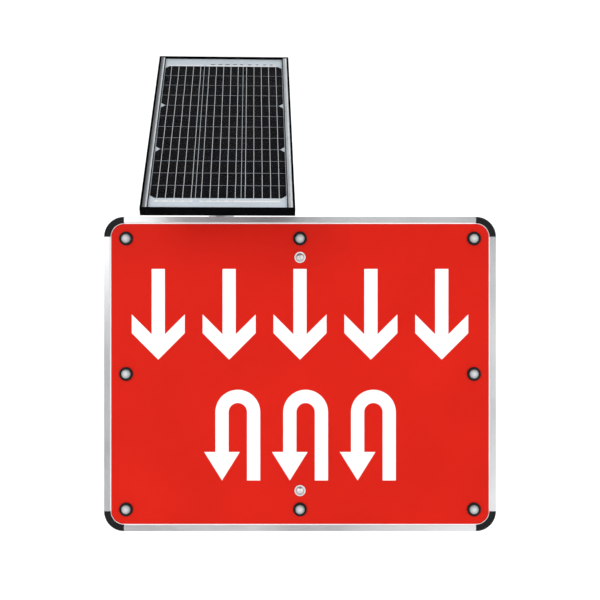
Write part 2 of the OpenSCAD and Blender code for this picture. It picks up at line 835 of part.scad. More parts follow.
module power_rocker() {
    half_h = 9.4;
    half_w = 6.2;
    color([0.75, 0.1, 0.08]) {
        translate([rocker_x, rocker_y, rocker_z]) rotate([-rocker_tilt, 0, 0]) rotate([90, 0, 90])
            linear_extrude(height = 2 * half_w, center = true)
                polygon([[-2.6, 0], [0.4, -half_h], [4.4, -half_h], [2.6, 0], [4.4, half_h], [0.4, half_h]]);
        rod_x(rocker_x, rocker_y, rocker_z, rocker_pin_r, 2 * half_w + 3.6);
    }
}

module terminal_block() {
    len = 96;
    y0 = cab_y + cab_t;
    color([0.14, 0.14, 0.15]) difference() {
        translate([mast_x - len / 2, y0, controller_z - 30]) cube([len, 16, 22]);
        for (i = [0 : 7]) translate([mast_x - len / 2 + 4 + i * 12, y0 + 10, controller_z - 31]) cube([8, 7, 14]);
    }
}

module fuse_holder() {
    color([0.85, 0.8, 0.7]) {
        translate([mast_x + 72, cab_y + cab_t, controller_z + 10]) cube([18, 6, 60]);
        translate([mast_x + 81, cab_y + cab_t + 12, controller_z + 16]) cylinder(r = 6.5, h = 48);
    }
}

// A cable gland with its blanking plug, pointing along -Z from its seat, and its stem through the wall
module gland(stem) {
    translate([0, 0, -6]) cylinder(r = 10, h = 6, $fn = 6);
    translate([0, 0, -16]) cylinder(r = 8, h = 11);
    translate([0, 0, -18.5]) cylinder(r = 5, h = 3);
    translate([0, 0, -1]) cylinder(r = gland_stem_r, h = stem + 1);
}

module cable_glands() {
    color(black_plastic) {
        for (g = gland_x) translate([g, gland_y, cab_z - cab_h / 2]) {
            gland(8);
            translate([0, 0, cab_t]) cylinder(r = 9, h = 4, $fn = 6);
        }
        translate([sign_gland_x, bracket_y, race_z]) gland(2.8);
    }
}

// Swivel head and tilt lock, about the mast's axis

module swivel_place() {
    translate([mast_x, mast_y, 0]) rotate([0, 0, panel_yaw]) children();
}

module swivel_head() {
    color(aluminium) swivel_place() difference() {
        union() {
            translate([0, 0, cup_bottom]) cylinder(r = cup_r, h = cup_top - cup_bottom);
            translate([-lug_w / 2, -lug_r, cup_top - 1]) cube([lug_w, 2 * lug_r, pivot_z - cup_top + 1]);
            rod_x(0, 0, pivot_z, lug_r, lug_w);
            for (s = [-1, 1]) rod_x(s * (cup_r - 1), 0, screw_z, 8, 8);
        }
        translate([0, 0, cup_bottom - 1]) cylinder(r = seat_r, h = cup_ceiling - cup_bottom + 1);
        rod_x(0, 0, pivot_z, pivot_r + fit_gap, 2 * lug_w);
        rod_x(0, 0, pivot_z - lock_arm, lock_r + fit_gap, 2 * lug_w);
        rod_x(0, 0, screw_z, 3.05, 100);
    }
}

module swivel_screws() {
    color(steel) swivel_place() for (s = [-1, 1]) {
        rod_x(s * (seat_r + 0.3 + 8), 0, screw_z, 3, 16);
        rod_x(s * (seat_r + 0.3 + 14), 0, screw_z, 5.5, 6);
    }
}

// A hexagon bolt along X through both cheeks, with its head on the left
module tilt_bolt(z, r, head_r, head_h) {
    translate([-cheek_out - head_h, 0, z]) rotate([0, 90, 0]) {
        cylinder(r = head_r, h = head_h, $fn = 6);
        cylinder(r = r, h = 2 * cheek_out + 2.6 * head_h);
    }
}

module tilt_nut(z, r, head_r, head_h) {
    difference() {
        translate([cheek_out, 0, z]) rotate([0, 90, 0]) cylinder(r = head_r, h = head_h, $fn = 6);
        rod_x(0, 0, z, r + 0.02, 100);
    }
}

module tilt_bolts() {
    color(steel) swivel_place() {
        tilt_bolt(pivot_z, pivot_r, 11, 8);
        tilt_bolt(pivot_z - lock_arm, lock_r, 7.5, 6);
    }
}

module tilt_nuts() {
    color(steel) swivel_place() {
        tilt_nut(pivot_z, pivot_r, 11, 9);
        tilt_nut(pivot_z - lock_arm, lock_r, 7.5, 7);
    }
}

// Solar panel, drawn flat about the tilt pivot: X across, Y up the slope, Z out of the panel's face

module panel_place() {
    swivel_place() translate([0, 0, pivot_z]) rotate([panel_slope, 0, 0]) children();
}

// A round-ended slot cut along an arc about the pivot's axis, from one angle to the other
module arc_slot(from, to) {
    rotate([from, 0, 0]) rotate([0, 90, 0]) rotate([0, 0, 90]) rotate_extrude(angle = to - from)
        translate([lock_arm - slot_w / 2, -20]) square([slot_w, 40]);
    for (a = [from, to]) rotate([a, 0, 0]) rod_x(0, lock_arm, 0, slot_w / 2 + 0.2, 40);
}

module tilt_bracket() {
    spine_z = panel_back - panel_rail_d - spine_t;
    y0 = pivot_offset - rail_offset - 15;
    len = 2 * rail_offset + 30;
    foot = 60;
    knee = 18;
    knee_w = sqrt(cheek_r * cheek_r - knee * knee) - 1;
    lock_angle = -90 - panel_slope;
    color(steel) panel_place() difference() {
        union() {
            translate([-25, y0, spine_z]) cube([50, len, spine_t]);
            for (s = [-1, 1]) translate([s * (cheek_x + cheek_t / 2), 0, 0]) rotate([90, 0, 90])
                linear_extrude(height = cheek_t, center = true) {
                    circle(cheek_r);
                    polygon([[-foot, spine_z + 1], [-knee_w, -knee], [knee_w, -knee], [foot, spine_z + 1]]);
                }
        }
        rod_x(0, 0, 0, pivot_r + fit_gap, 100);
        arc_slot(lock_angle - tilt_steeper - 1, lock_angle + tilt_flatter + 1);
        for (s = [-1, 1], e = [-1, 1]) translate([s * 14, pivot_offset + e * rail_offset, spine_z - 1])
            cylinder(r = 3.1, h = spine_t + 2);
    }
}

module panel_rails() {
    wall = 1.6;
    len = panel_w - 8;
    color(aluminium) panel_place() for (e = [-1, 1]) translate([0, pivot_offset + e * rail_offset, panel_back])
        difference() {
            translate([-len / 2, -panel_rail_w / 2, -panel_rail_d]) cube([len, panel_rail_w, panel_rail_d]);
            translate([-len, -panel_rail_w / 2 + wall, -panel_rail_d + wall])
                cube([2 * len, panel_rail_w - 2 * wall, panel_rail_d - 2 * wall]);
            for (x = [-frame_screw_x, -14, 14, frame_screw_x]) translate([x, 0, -30]) cylinder(r = 3.1, h = 40);
        }
}

module panel_rail_screws() {
    color(steel) panel_place() for (s = [-1, 1], e = [-1, 1]) {
        translate([s * 14, pivot_offset + e * rail_offset, panel_back - panel_rail_d - spine_t]) hex_screw();
        translate([s * frame_screw_x, pivot_offset + e * rail_offset, panel_back - panel_rail_d]) hex_screw();
    }
}

module hex_screw() {
    translate([0, 0, -4]) cylinder(r = 5.6, h = 4, $fn = 6);
    translate([0, 0, -1]) cylinder(r = 6.5, h = 1);
    translate([0, 0, -0.5]) cylinder(r = 3, h = 29);
}

// Section of the panel's frame: X from the outer face inwards (negative), Y along the panel's thickness
module panel_section() {
    wall = 1.6;
    wall_section(0, wall, panel_back, panel_front);
    wall_section(0, panel_lip, panel_front - lip_t, panel_front);
    wall_section(0, 10, laminate_back - wall, laminate_back);
    wall_section(0, rear_flange, panel_back, panel_back + wall);
}

// One frame member with mitred ends, on the side that faces the angle
module panel_member(angle, reach, len) {
    color(black_plastic) panel_place() translate([0, pivot_offset, 0]) rotate([0, 0, angle]) intersection() {
        translate([reach, 0, 0]) rotate([90, 0, 0]) linear_extrude(height = len, center = true) panel_section();
        translate([0, 0, panel_back - 1]) linear_extrude(height = panel_t + 2)
            polygon([[reach, -len / 2], [reach, len / 2], [reach - 30, len / 2 - 30], [reach - 30, 30 - len / 2]]);
    }
}

module panel_frame_ends() {
    for (a = [90, 270]) panel_member(a, panel_l / 2, panel_w);
}

module panel_frame_sides() {
    difference() {
        for (a = [0, 180]) panel_member(a, panel_w / 2, panel_l);
        panel_place() for (s = [-1, 1], e = [-1, 1])
            translate([s * frame_screw_x, pivot_offset + e * rail_offset, panel_back - 5]) cylinder(r = 3.1, h = 9);
    }
}

module panel_side_trims() {
    len = panel_l - 2 * panel_lip - 1;
    color(aluminium) panel_place() for (s = [-1, 1])
        translate([s * (panel_w / 2 - panel_lip - trim_w / 2), pivot_offset, glass_front + 0.75])
            cube([trim_w, len, 1.5], center = true);
}

module laminate_layer(z0, z1, inset) {
    translate([0, pivot_offset, (z0 + z1) / 2]) cube([panel_w - 2 * inset, panel_l - 2 * inset, z1 - z0], center = true);
}

module panel_backsheet() {
    color([0.88, 0.9, 0.92]) panel_place() laminate_layer(laminate_back, laminate_back + 0.4, 2);
}

module panel_glass() {
    color([0.75, 0.85, 0.9, 0.35]) panel_place() laminate_layer(glass_back, glass_front, 2);
}

// A cell is a half by a quarter of a wafer with cut corners: the cuts fall on the outer columns, every fourth row
module solar_cells() {
    cell_w = cell_pitch_x - cell_gap;
    cell_h = cell_pitch_y - cell_gap;
    color([0.05, 0.06, 0.1]) panel_place()
        translate([0, pivot_offset + cell_shift, laminate_back + 0.45]) linear_extrude(height = 0.25)
            for (c = [0 : cell_cols - 1], r = [0 : cell_rows - 1])
                translate([(c - (cell_cols - 1) / 2) * cell_pitch_x, (r - (cell_rows - 1) / 2) * cell_pitch_y])
                    difference() {
                        square([cell_w, cell_h], center = true);
                        if (c != 1) for (e = [-1, 1])
                            if ((r + (e > 0 ? 1 : 0)) % 4 == 0)
                                translate([(c - 1) * cell_w / 2, e * cell_h / 2]) rotate(45)
                                    square(wafer_cut * sqrt(2), center = true);
                    }
}

// The junction box is filled with potting compound
module junction_box() {
    z0 = laminate_back - junction_size[2];
    color(black_plastic) panel_place() {
        translate([-junction_size[0] / 2, junction_y - junction_size[1] / 2, z0]) cube(junction_size);
        for (x = [-24, 24]) translate([x, junction_y - junction_size[1] / 2, z0 + 10]) rotate([90, 0, 0]) {
            translate([0, 0, -1]) cylinder(r = 7.5, h = 6, $fn = 6);
            translate([0, 0, -1]) cylinder(r = 6, h = 11);
            translate([0, 0, -1]) cylinder(r = 4, h = 13);
        }
    }
}

module junction_lid() {
    z0 = laminate_back - junction_size[2];
    color(black_plastic) panel_place() translate([0, junction_y, z0 - 1.5])
        cube([junction_size[0] + 2, junction_size[1] + 2, 3], center = true);
}

sign_blank();
white_sheeting();
red_overlay();
frame_top();
frame_bottom();
frame_left();
frame_right();
corner_caps();
raceway_covers();
led_bezels();
led_lenses();
led_boards();
led_gaskets();
led_nuts();
led_harness();
rail_upper();
rail_lower();
rail_brackets();
bracket_screws();
mount_bolts();
mount_washers();
mount_nuts();
mast_tube();
mast_end_cap();
mast_bearing();
mast_saddles();
mast_clamps();
clamp_bolts();
clamp_nuts();
cabinet_shell();
cabinet_brackets();
cabinet_bands();
hinge_pins();
battery();
battery_strap();
flash_controller();
terminal_block();
fuse_holder();
cable_glands();
power_rocker();
cabinet_door();
door_gasket();
lock_barrel();
lock_cam();
swivel_head();
swivel_screws();
tilt_bolts();
tilt_nuts();
tilt_bracket();
panel_rails();
panel_rail_screws();
panel_frame_ends();
panel_frame_sides();
panel_side_trims();
panel_backsheet();
solar_cells();
panel_glass();
junction_box();
junction_lid();
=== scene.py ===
"""Looks for the solar powered flashing traffic sign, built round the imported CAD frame."""
import json
import math
import random

import bmesh
import bpy
import numpy as np
from mathutils import Matrix, Vector


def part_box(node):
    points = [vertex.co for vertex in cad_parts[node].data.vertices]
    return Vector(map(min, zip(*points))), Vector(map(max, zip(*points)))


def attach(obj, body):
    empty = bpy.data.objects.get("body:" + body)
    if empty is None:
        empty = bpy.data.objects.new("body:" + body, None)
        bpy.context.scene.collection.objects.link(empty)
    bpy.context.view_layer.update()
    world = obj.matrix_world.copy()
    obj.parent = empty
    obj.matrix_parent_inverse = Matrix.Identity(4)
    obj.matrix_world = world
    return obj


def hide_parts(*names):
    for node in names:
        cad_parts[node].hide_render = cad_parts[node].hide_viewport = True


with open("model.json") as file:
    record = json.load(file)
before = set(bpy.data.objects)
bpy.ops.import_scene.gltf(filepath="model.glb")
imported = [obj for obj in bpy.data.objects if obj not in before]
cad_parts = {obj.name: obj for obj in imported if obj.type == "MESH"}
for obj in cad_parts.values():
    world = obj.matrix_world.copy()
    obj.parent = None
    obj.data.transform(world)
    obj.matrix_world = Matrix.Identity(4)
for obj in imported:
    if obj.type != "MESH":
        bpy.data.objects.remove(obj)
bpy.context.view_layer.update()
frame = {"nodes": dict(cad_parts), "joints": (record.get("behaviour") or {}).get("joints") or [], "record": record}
NODES = frame["nodes"]
MM = 0.001


# ---------------------------------------------------------------- camera and light

# Metres, and the lens in millimetres
CAMERA_DISTANCE = 2.10
CAMERA_HEIGHT = 0.145
LENS = 64.3

front_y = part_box("frame_top")[0].y
camera = bpy.data.objects.new("camera", bpy.data.cameras.new("camera"))
camera.data.lens = LENS
camera.location = (0, front_y - CAMERA_DISTANCE, CAMERA_HEIGHT)
camera.rotation_euler = (math.radians(90), 0, 0)
bpy.context.scene.collection.objects.link(camera)
bpy.context.scene.camera = camera
bpy.context.scene.view_settings.view_transform = "Standard"


# Name, place, aim, side in metres, power in watts, seen in reflections
LIGHTS = (
    ("key", (-1.9, -3.1, 1.2), (-0.1, 0, 0.1), 2.0, 25, True),
    ("fill", (2.3, -2.6, 0.2), (0, 0, 0.1), 2.0, 13, True),
    ("front", (-0.6, -3.3, -0.5), (-0.1, 0, 0.2), 1.2, 10, False),
    ("top", (0, 0.2, 3.8), (0, 0.2, 0), 3.0, 15, False),
    ("back", (1.2, 3.2, 2.0), (0, 0, 0.1), 2.0, 13, False),
)
WORLD_COLOUR = (0.95, 0.97, 1.0, 1)
WORLD_STRENGTH = 0.28


def area_light(name, place, aim, size, power, glossy):
    light = bpy.data.lights.new(name, "AREA")
    light.shape = "SQUARE"
    light.size = size
    light.energy = power
    lamp = bpy.data.objects.new(name, light)
    lamp.location = place
    lamp.rotation_euler = (Vector(aim) - Vector(place)).to_track_quat("-Z", "Y").to_euler()
    lamp.visible_camera = False
    lamp.visible_glossy = glossy
    bpy.context.scene.collection.objects.link(lamp)


for light in LIGHTS:
    area_light(*light)

world = bpy.data.worlds.new("studio")
world.use_nodes = True
world.node_tree.nodes["Background"].inputs["Color"].default_value = WORLD_COLOUR
world.node_tree.nodes["Background"].inputs["Strength"].default_value = WORLD_STRENGTH
bpy.context.scene.world = world


# ---------------------------------------------------------------- materials

class Net:
    """A material's nodes, added one at a time. An input that is a socket is linked; anything else is set."""

    def __init__(self, name, **values):
        self.material = bpy.data.materials.new(name)
        self.material.use_nodes = True
        self.tree = self.material.node_tree
        self.shader = self.tree.nodes["Principled BSDF"]
        self.set(**values)

    def set(self, **values):
        for key, value in values.items():
            self.join(self.shader.inputs[key.replace("_", " ")], value)

    def join(self, socket, value):
        if isinstance(value, bpy.types.NodeSocket):
            self.tree.links.new(value, socket)
        elif isinstance(value, tuple) and len(value) == 3 and socket.type == "RGBA":
            socket.default_value = (*value, 1)
        else:
            socket.default_value = value

    def add(self, kind, inputs=(), output=0, **settings):
        node = self.tree.nodes.new("ShaderNode" + kind)
        for key, value in settings.items():
            setattr(node, key, value)
        for key, value in dict(inputs).items():
            self.join(node.inputs[key], value)
        return node.outputs[output]

    def place(self, scale=1.0, turn=(0, 0, 0), source="Object"):
        """Coordinates in millimetres times scale, so they stay on the piece when it moves."""
        sizes = (scale,) * 3 if isinstance(scale, (int, float)) else scale
        factor = 1 / MM if source == "Object" else 1
        start = self.tree.nodes.new("ShaderNodeTexCoord").outputs[source]
        if any(turn):
            start = self.add("Mapping", {"Vector": start, "Rotation": turn})
        return self.add("Mapping", {"Vector": start, "Scale": tuple(s * factor for s in sizes)})

    def axes(self, where):
        """The X, Y and Z outputs of a vector."""
        node = self.tree.nodes.new("ShaderNodeSeparateXYZ")
        self.tree.links.new(where, node.inputs[0])
        return node.outputs

    def noise(self, where, scale=1.0, detail=3.0, roughness=0.5):
        settings = {"Vector": where, "Scale": scale, "Detail": detail, "Roughness": roughness}
        return self.add("TexNoise", settings)

    def cells(self, where, scale, feature="F1", output="Distance", randomness=1.0):
        settings = {"Vector": where, "Scale": scale, "Randomness": randomness}
        return self.add("TexVoronoi", settings, output, feature=feature)

    def math(self, operation, a, b=0.0):
        return self.add("Math", {0: a, 1: b}, operation=operation)

    def span(self, value, low, high, start=0.0, end=1.0):
        """value from start..end mapped to low..high."""
        sizes = {"Value": value, "From Min": start, "From Max": end, "To Min": low, "To Max": high}
        return self.add("MapRange", sizes)

    def blend(self, factor, a, b):
        node = self.tree.nodes.new("ShaderNodeMix")
        node.data_type = "RGBA"
        for index, value in ((0, factor), (6, a), (7, b)):
            self.join(node.inputs[index], value)
        return node.outputs[2]

    def bump(self, height, depth_mm, strength=1.0):
        self.set(Normal=self.add("Bump", {"Height": height, "Distance": depth_mm * MM, "Strength": strength}))


def grained(name, dark, light, rough, metallic=0.0, grain=1.0, stretch=(1, 1, 1), blotch=0.03, depth=0.02,
            **values):
    """A base for moulded, cast and drawn surfaces: blotches in the colour and a grain in gloss and bump."""
    net = Net(name, Metallic=metallic, **values)
    wide = net.noise(net.place(blotch), detail=4)
    fine = net.noise(net.place(tuple(grain * s for s in stretch)), detail=4, roughness=0.6)
    both = net.math("ADD", net.math("MULTIPLY", wide, 0.6), net.math("MULTIPLY", fine, 0.4))
    net.set(Base_Color=net.blend(net.span(both, 0, 1, 0.3, 0.7), dark, light))
    net.set(Roughness=net.span(fine, rough[0], rough[1], 0.25, 0.75))
    net.bump(fine, depth)
    return net


# Where a painted highlight makes drawn metal paler: X times Z, in square millimetres from the sign's centre
PAINTED_HIGHLIGHT_FROM, PAINTED_HIGHLIGHT_TO = -20000, -90000


def extruded(name, dark, light, rough, along, depth=0.012, pale=None):
    """Drawn metal: fine lines along one axis. With pale, it fades to that colour at two opposite corners, top left
    and bottom right: a painted highlight.
    """
    stretch = [2.6, 2.6, 2.6]
    stretch[along] = 0.02
    net = grained(name, dark, light, rough, 1.0, 1.0, stretch, 0.004, depth)
    # Painted highlight: the colour turns paler towards two opposite corners of the sign
    if pale:
        colour = net.shader.inputs["Base Color"].links[0].from_socket
        axes = net.axes(net.place())
        corner = net.math("MULTIPLY", axes["X"], axes["Z"])
        net.set(Base_Color=net.blend(net.span(corner, 0, 1, PAINTED_HIGHLIGHT_FROM, PAINTED_HIGHLIGHT_TO), colour, pale))
    return net.material


def galvanised(name):
    """Hot-dip zinc: spangles that differ a little in tone, with fine edges and frost."""
    net = Net(name, Metallic=0.92)
    where = net.place()
    spangle = net.cells(where, 0.16, output="Color")
    edges = net.cells(where, 0.16, "DISTANCE_TO_EDGE")
    grey = net.add("SeparateColor", {"Color": spangle})
    frost = net.noise(where, 0.9, 5)
    tone = net.math("ADD", net.math("MULTIPLY", grey, 0.6), net.math("MULTIPLY", frost, 0.4))
    net.set(Base_Color=net.blend(tone, (0.42, 0.44, 0.46), (0.62, 0.64, 0.66)))
    net.set(Roughness=net.span(tone, 0.30, 0.50))
    net.bump(net.math("ADD", net.span(edges, 0, 0.3, 0, 0.12), frost), 0.03, 0.7)
    return net.material


THREAD_PITCH = 1.6


def brushed(name, thread_from=None):
    """Brushed steel. With thread_from, a thread runs along Y behind that distance in millimetres, with painted
    shade in its roots.
    """
    net = Net(name, Metallic=1.0)
    where = net.place()
    scratches = net.noise(net.place((0.4, 5, 1.2)), 1.0, 5, 0.65)
    wide = net.noise(where, 0.12, 3)
    dark, light = (0.46, 0.46, 0.465), (0.74, 0.74, 0.745)
    colour = net.blend(net.span(net.math("ADD", scratches, wide), 0, 1, 0.6, 1.4), dark, light)
    if thread_from is None:
        net.bump(scratches, 0.01)
    else:
        along = net.axes(where)["Y"]
        behind = net.math("GREATER_THAN", along, thread_from)
        crest = net.math("MULTIPLY", net.math("PINGPONG", along, THREAD_PITCH / 2), behind)
        # Painted shade: the thread's roots are darker, down each groove
        root = net.math("MULTIPLY", net.span(crest, 1, 0, 0, 0.5), behind)
        colour = net.blend(root, colour, (0.16, 0.16, 0.165))
        net.bump(crest, 0.5, 0.8)
    net.set(Base_Color=colour)
    net.set(Roughness=net.span(scratches, 0.16, 0.36, 0.3, 0.7))
    return net.material


# The sealed diamonds of reflective sheeting, in millimetres
DIAMOND_PITCH, SEAL_LINE = 3.2, 0.16


def sheeting(name, dark, light, specular):
    """Reflective sheeting: a fine diamond grid of sealed cells under a smooth face."""
    net = Net(name, Specular_IOR_Level=specular)
    axes = net.axes(net.place(1.0, (0, math.radians(45), 0)))
    lines = []
    for axis in ("X", "Z"):
        saw = net.math("PINGPONG", axes[axis], DIAMOND_PITCH / 2)
        lines.append(net.math("LESS_THAN", saw, SEAL_LINE))
    seal = net.math("MAXIMUM", *lines)
    wide = net.noise(net.place(0.006), detail=3)
    fine = net.noise(net.place(2.5), detail=2)
    tone = net.math("SUBTRACT", net.span(wide, 0.35, 0.85, 0.3, 0.7), net.math("MULTIPLY", seal, 0.35))
    net.set(Base_Color=net.blend(tone, dark, light))
    net.set(Roughness=net.span(fine, 0.28, 0.42, 0.3, 0.7))
    net.bump(net.math("ADD", net.math("MULTIPLY", seal, -0.6), net.math("MULTIPLY", fine, 0.3)), 0.02, 0.5)
    return net.material


def powder_coat(name, dark, light):
    """Baked paint: orange peel in gloss and bump, and a faint speckle in the colour."""
    net = Net(name, Specular_IOR_Level=0.5)
    where = net.place()
    peel = net.noise(where, 0.7, 2, 0.4)
    speck = net.cells(where, 1.6)
    wide = net.noise(where, 0.012, 3)
    tone = net.math("ADD", wide, net.math("MULTIPLY", speck, 0.25))
    net.set(Base_Color=net.blend(net.span(tone, 0, 1, 0.4, 0.8), dark, light))
    net.set(Roughness=net.span(peel, 0.34, 0.50, 0.3, 0.7))
    net.bump(peel, 0.06, 0.6)
    return net.material


# The fingers printed across a cell, in millimetres
FINGER_PITCH, FINGER_EDGE = 1.5, 0.07


def silicon(name):
    """Solar cells: a tint per cell and thin printed fingers. The UV map holds millimetres on the panel."""
    net = Net(name, Specular_IOR_Level=0.06)
    tint = net.add("Attribute", output="Fac", attribute_name="tint")
    flat = net.place(1.0, source="UV")
    finger = net.math("LESS_THAN", net.math("PINGPONG", net.axes(flat)["Y"], FINGER_PITCH / 2), FINGER_EDGE)
    cloud = net.noise(flat, 0.03, 4)
    shade = net.math("ADD", net.math("MULTIPLY", tint, 0.7), net.math("MULTIPLY", cloud, 0.3))
    body = net.blend(shade, (0.0012, 0.0022, 0.0045), (0.0045, 0.003, 0.003))
    net.set(Base_Color=net.blend(finger, body, (0.009, 0.0095, 0.0105)))
    net.set(Roughness=net.span(cloud, 0.22, 0.36))
    net.bump(cloud, 0.01, 0.2)
    return net.material


def ribbon_metal(name, metallic, dark):
    """Flat copper wire coated with solder, uneven along its length."""
    net = Net(name, Metallic=metallic)
    solder = net.noise(net.place(1.0), 0.5, 4)
    net.set(Base_Color=net.blend(solder, dark, (0.97, 0.97, 0.96)))
    net.set(Roughness=net.span(solder, 0.3, 0.55))
    net.bump(solder, 0.05, 0.6)
    return net.material


def strip_metal(name):
    """Aluminium strip with drawn lines; the face attribute polish holds each facet's painted light and shade, from
    near black to bright.
    """
    net = Net(name)
    painted_facet_light = net.add("Attribute", output="Fac", attribute_name="painted_facet_light")
    lines = net.noise(net.place((2.2, 0.04, 0.04)), detail=4)
    wide = net.noise(net.place(0.012), detail=3)
    # Painted light and shade: each facet's brightness comes from its face attribute
    drawn = net.math("MULTIPLY", net.span(net.math("ADD", lines, wide), 0.8, 1.1, 0.7, 1.3), painted_facet_light)
    net.set(Base_Color=net.blend(drawn, (0.02, 0.025, 0.03), (0.90, 0.94, 0.97)), Metallic=0.35)
    net.set(Roughness=net.span(lines, 0.22, 0.42, 0.3, 0.7))
    net.bump(lines, 0.012)
    return net.material


def backsheet_film(name):
    """Pale blue-white film with a fine weave."""
    net = Net(name, Specular_IOR_Level=0.4)
    weave = net.noise(net.place((2.0, 0.5, 2.0)), 1.0, 3)
    wide = net.noise(net.place(0.02), detail=3)
    net.set(Base_Color=net.blend(wide, (0.58, 0.65, 0.71), (0.76, 0.83, 0.89)))
    net.set(Roughness=net.span(weave, 0.3, 0.5))
    net.bump(weave, 0.02)
    return net.material


def clear_glass(name):
    """Nearly clear, with a little haze in its gloss."""
    net = Net(name, Base_Color=(0.012, 0.016, 0.022), Alpha=0.05, IOR=1.5)
    haze = net.noise(net.place(0.02), detail=4)
    ripple = net.noise(net.place(0.012), detail=2)
    net.set(Roughness=net.span(haze, 0.05, 0.16, 0.3, 0.7))
    net.bump(ripple, 0.05, 0.3)
    return net.material


def milky_lens(name):
    """Diffusing lens, darker towards its rim: painted shade, standing in for the shade of the cup's wall that
    shows through.
    """
    net = Net(name, Subsurface_Weight=0.25, Subsurface_Scale=0.003, Coat_Weight=0.35, Coat_Roughness=0.08)
    depth = net.add("Attribute", output="Fac", attribute_name="radius")
    speck = net.noise(net.place(1.4), detail=3)
    middle = net.blend(speck, (0.46, 0.46, 0.48), (0.60, 0.60, 0.62))
    # Painted shade: the colour darkens with the radius towards the rim
    net.set(Base_Color=net.blend(net.math("POWER", depth, 1.8), middle, (0.08, 0.11, 0.10)))
    net.set(Roughness=net.span(speck, 0.16, 0.3))
    net.bump(speck, 0.02, 0.5)
    return net.material


def circuit(name):
    """Green lacquer over copper tracks."""
    net = Net(name, Coat_Weight=0.4, Coat_Roughness=0.15)
    tracks = net.cells(net.place(1.0), 0.5, "DISTANCE_TO_EDGE", randomness=0.4)
    line = net.math("LESS_THAN", tracks, 0.08)
    net.set(Base_Color=net.blend(line, (0.012, 0.11, 0.05), (0.04, 0.26, 0.12)))
    net.set(Roughness=net.span(tracks, 0.3, 0.5))
    net.bump(line, 0.03)
    return net.material


def plastic(name, dark, light, rough=(0.42, 0.62), grain=2.2, depth=0.03, **values):
    values.setdefault("Specular_IOR_Level", 0.3)
    return grained(name, dark, light, rough, 0.0, grain, (1, 1, 1), 0.02, depth, **values).material


FRAME_GREY = ((0.27, 0.275, 0.285), (0.56, 0.565, 0.575))
# The colour of the painted highlight on the frame
FRAME_PAINTED_HIGHLIGHT = (0.62, 0.625, 0.635)
MILL_GREY = ((0.42, 0.425, 0.43), (0.60, 0.605, 0.61))
# Where the studs' thread starts, in millimetres along Y
STUD_THREAD = -16.0
MATERIALS = {
    "aluminium_frame_x": extruded("satin aluminium, drawn along x", *FRAME_GREY, (0.26, 0.40), 0,
                                  pale=FRAME_PAINTED_HIGHLIGHT),
    "aluminium_frame_z": extruded("satin aluminium, drawn along z", *FRAME_GREY, (0.26, 0.40), 2,
                                  pale=FRAME_PAINTED_HIGHLIGHT),
    "mill_aluminium": extruded("mill aluminium", *MILL_GREY, (0.30, 0.48), 0, 0.02),
    "white_sheeting": sheeting("white sheeting", (0.80, 0.80, 0.80), (0.92, 0.92, 0.92), 0.3),
    "red_sheeting": sheeting("red sheeting", (0.50, 0.0095, 0.004), (0.60, 0.0125, 0.005), 0.06),
    "black_plastic": plastic("black moulding", (0.002, 0.0025, 0.003), (0.008, 0.009, 0.010),
                             Specular_IOR_Level=0.14),
    "lamp_lens": milky_lens("milky lens"),
    "circuit_board": circuit("circuit board"),
    "rubber_seal": plastic("seal rubber", (0.010, 0.010, 0.010), (0.03, 0.03, 0.03), (0.6, 0.8), 1.2, 0.05),
    "cable_jacket": plastic("cable jacket", (0.008, 0.008, 0.008), (0.024, 0.024, 0.024), (0.4, 0.55)),
    "stainless": brushed("stainless"),
    "galvanised": galvanised("galvanised"),
    "cast_aluminium": grained("cast aluminium", (0.36, 0.365, 0.37), (0.58, 0.585, 0.59), (0.36, 0.58), 0.95,
                              1.1, (1, 1, 1), 0.03, 0.09).material,
    "nylon": plastic("nylon", (0.66, 0.64, 0.57), (0.78, 0.77, 0.70), (0.35, 0.5), Subsurface_Weight=0.15,
                     Subsurface_Scale=0.002),
    "cabinet_paint": powder_coat("light grey powder coat", (0.50, 0.52, 0.53), (0.60, 0.62, 0.63)),
    "battery_case": plastic("battery case", (0.020, 0.022, 0.028), (0.045, 0.048, 0.058)),
    "controller_case": plastic("controller case", (0.05, 0.065, 0.08), (0.09, 0.11, 0.13), (0.35, 0.5)),
    "red_rocker": plastic("red rocker", (0.42, 0.012, 0.010), (0.60, 0.025, 0.018), (0.15, 0.28), 1.0, 0.01,
                          Coat_Weight=0.4),
    "terminal_plastic": plastic("terminal plastic", (0.012, 0.012, 0.014), (0.03, 0.03, 0.034)),
    "fuse_plastic": plastic("fuse plastic", (0.46, 0.42, 0.33), (0.62, 0.58, 0.47), (0.25, 0.4)),
    "black_anodised": grained("black anodised", (0.0008, 0.0008, 0.001), (0.002, 0.002, 0.0025), (0.3, 0.48),
                              0.0, 1.0, (2.5, 0.05, 0.05), 0.02, 0.012, Specular_IOR_Level=0.01).material,
    "backsheet": backsheet_film("backsheet"),
    "solar_cell": silicon("solar cell"),
    "solar_glass": clear_glass("solar glass"),
    "ribbon": ribbon_metal("tinned ribbon", 0.35, (0.72, 0.72, 0.72)),
    "bus_ribbon": ribbon_metal("solder-coated ribbon", 0.05, (0.93, 0.93, 0.93)),
    "threaded": brushed("threaded stainless", STUD_THREAD),
    "strip": strip_metal("glazing strip"),
    "green_lamp": plastic("green indicator", (0.02, 0.30, 0.06), (0.04, 0.48, 0.10), (0.12, 0.22), 1.0,
                          0.005),
    "amber_lamp": plastic("amber indicator", (0.55, 0.20, 0.01), (0.75, 0.32, 0.02), (0.12, 0.22), 1.0,
                          0.005),
}
# Nodes with a look of their own; the others take their material slot's
OWN_LOOK = {
    "frame_top": "aluminium_frame_x", "frame_bottom": "aluminium_frame_x",
    "frame_left": "aluminium_frame_z", "frame_right": "aluminium_frame_z",
    "raceway_covers": "aluminium_frame_x", "panel_side_trims": "strip", "mount_bolts": "threaded",
}
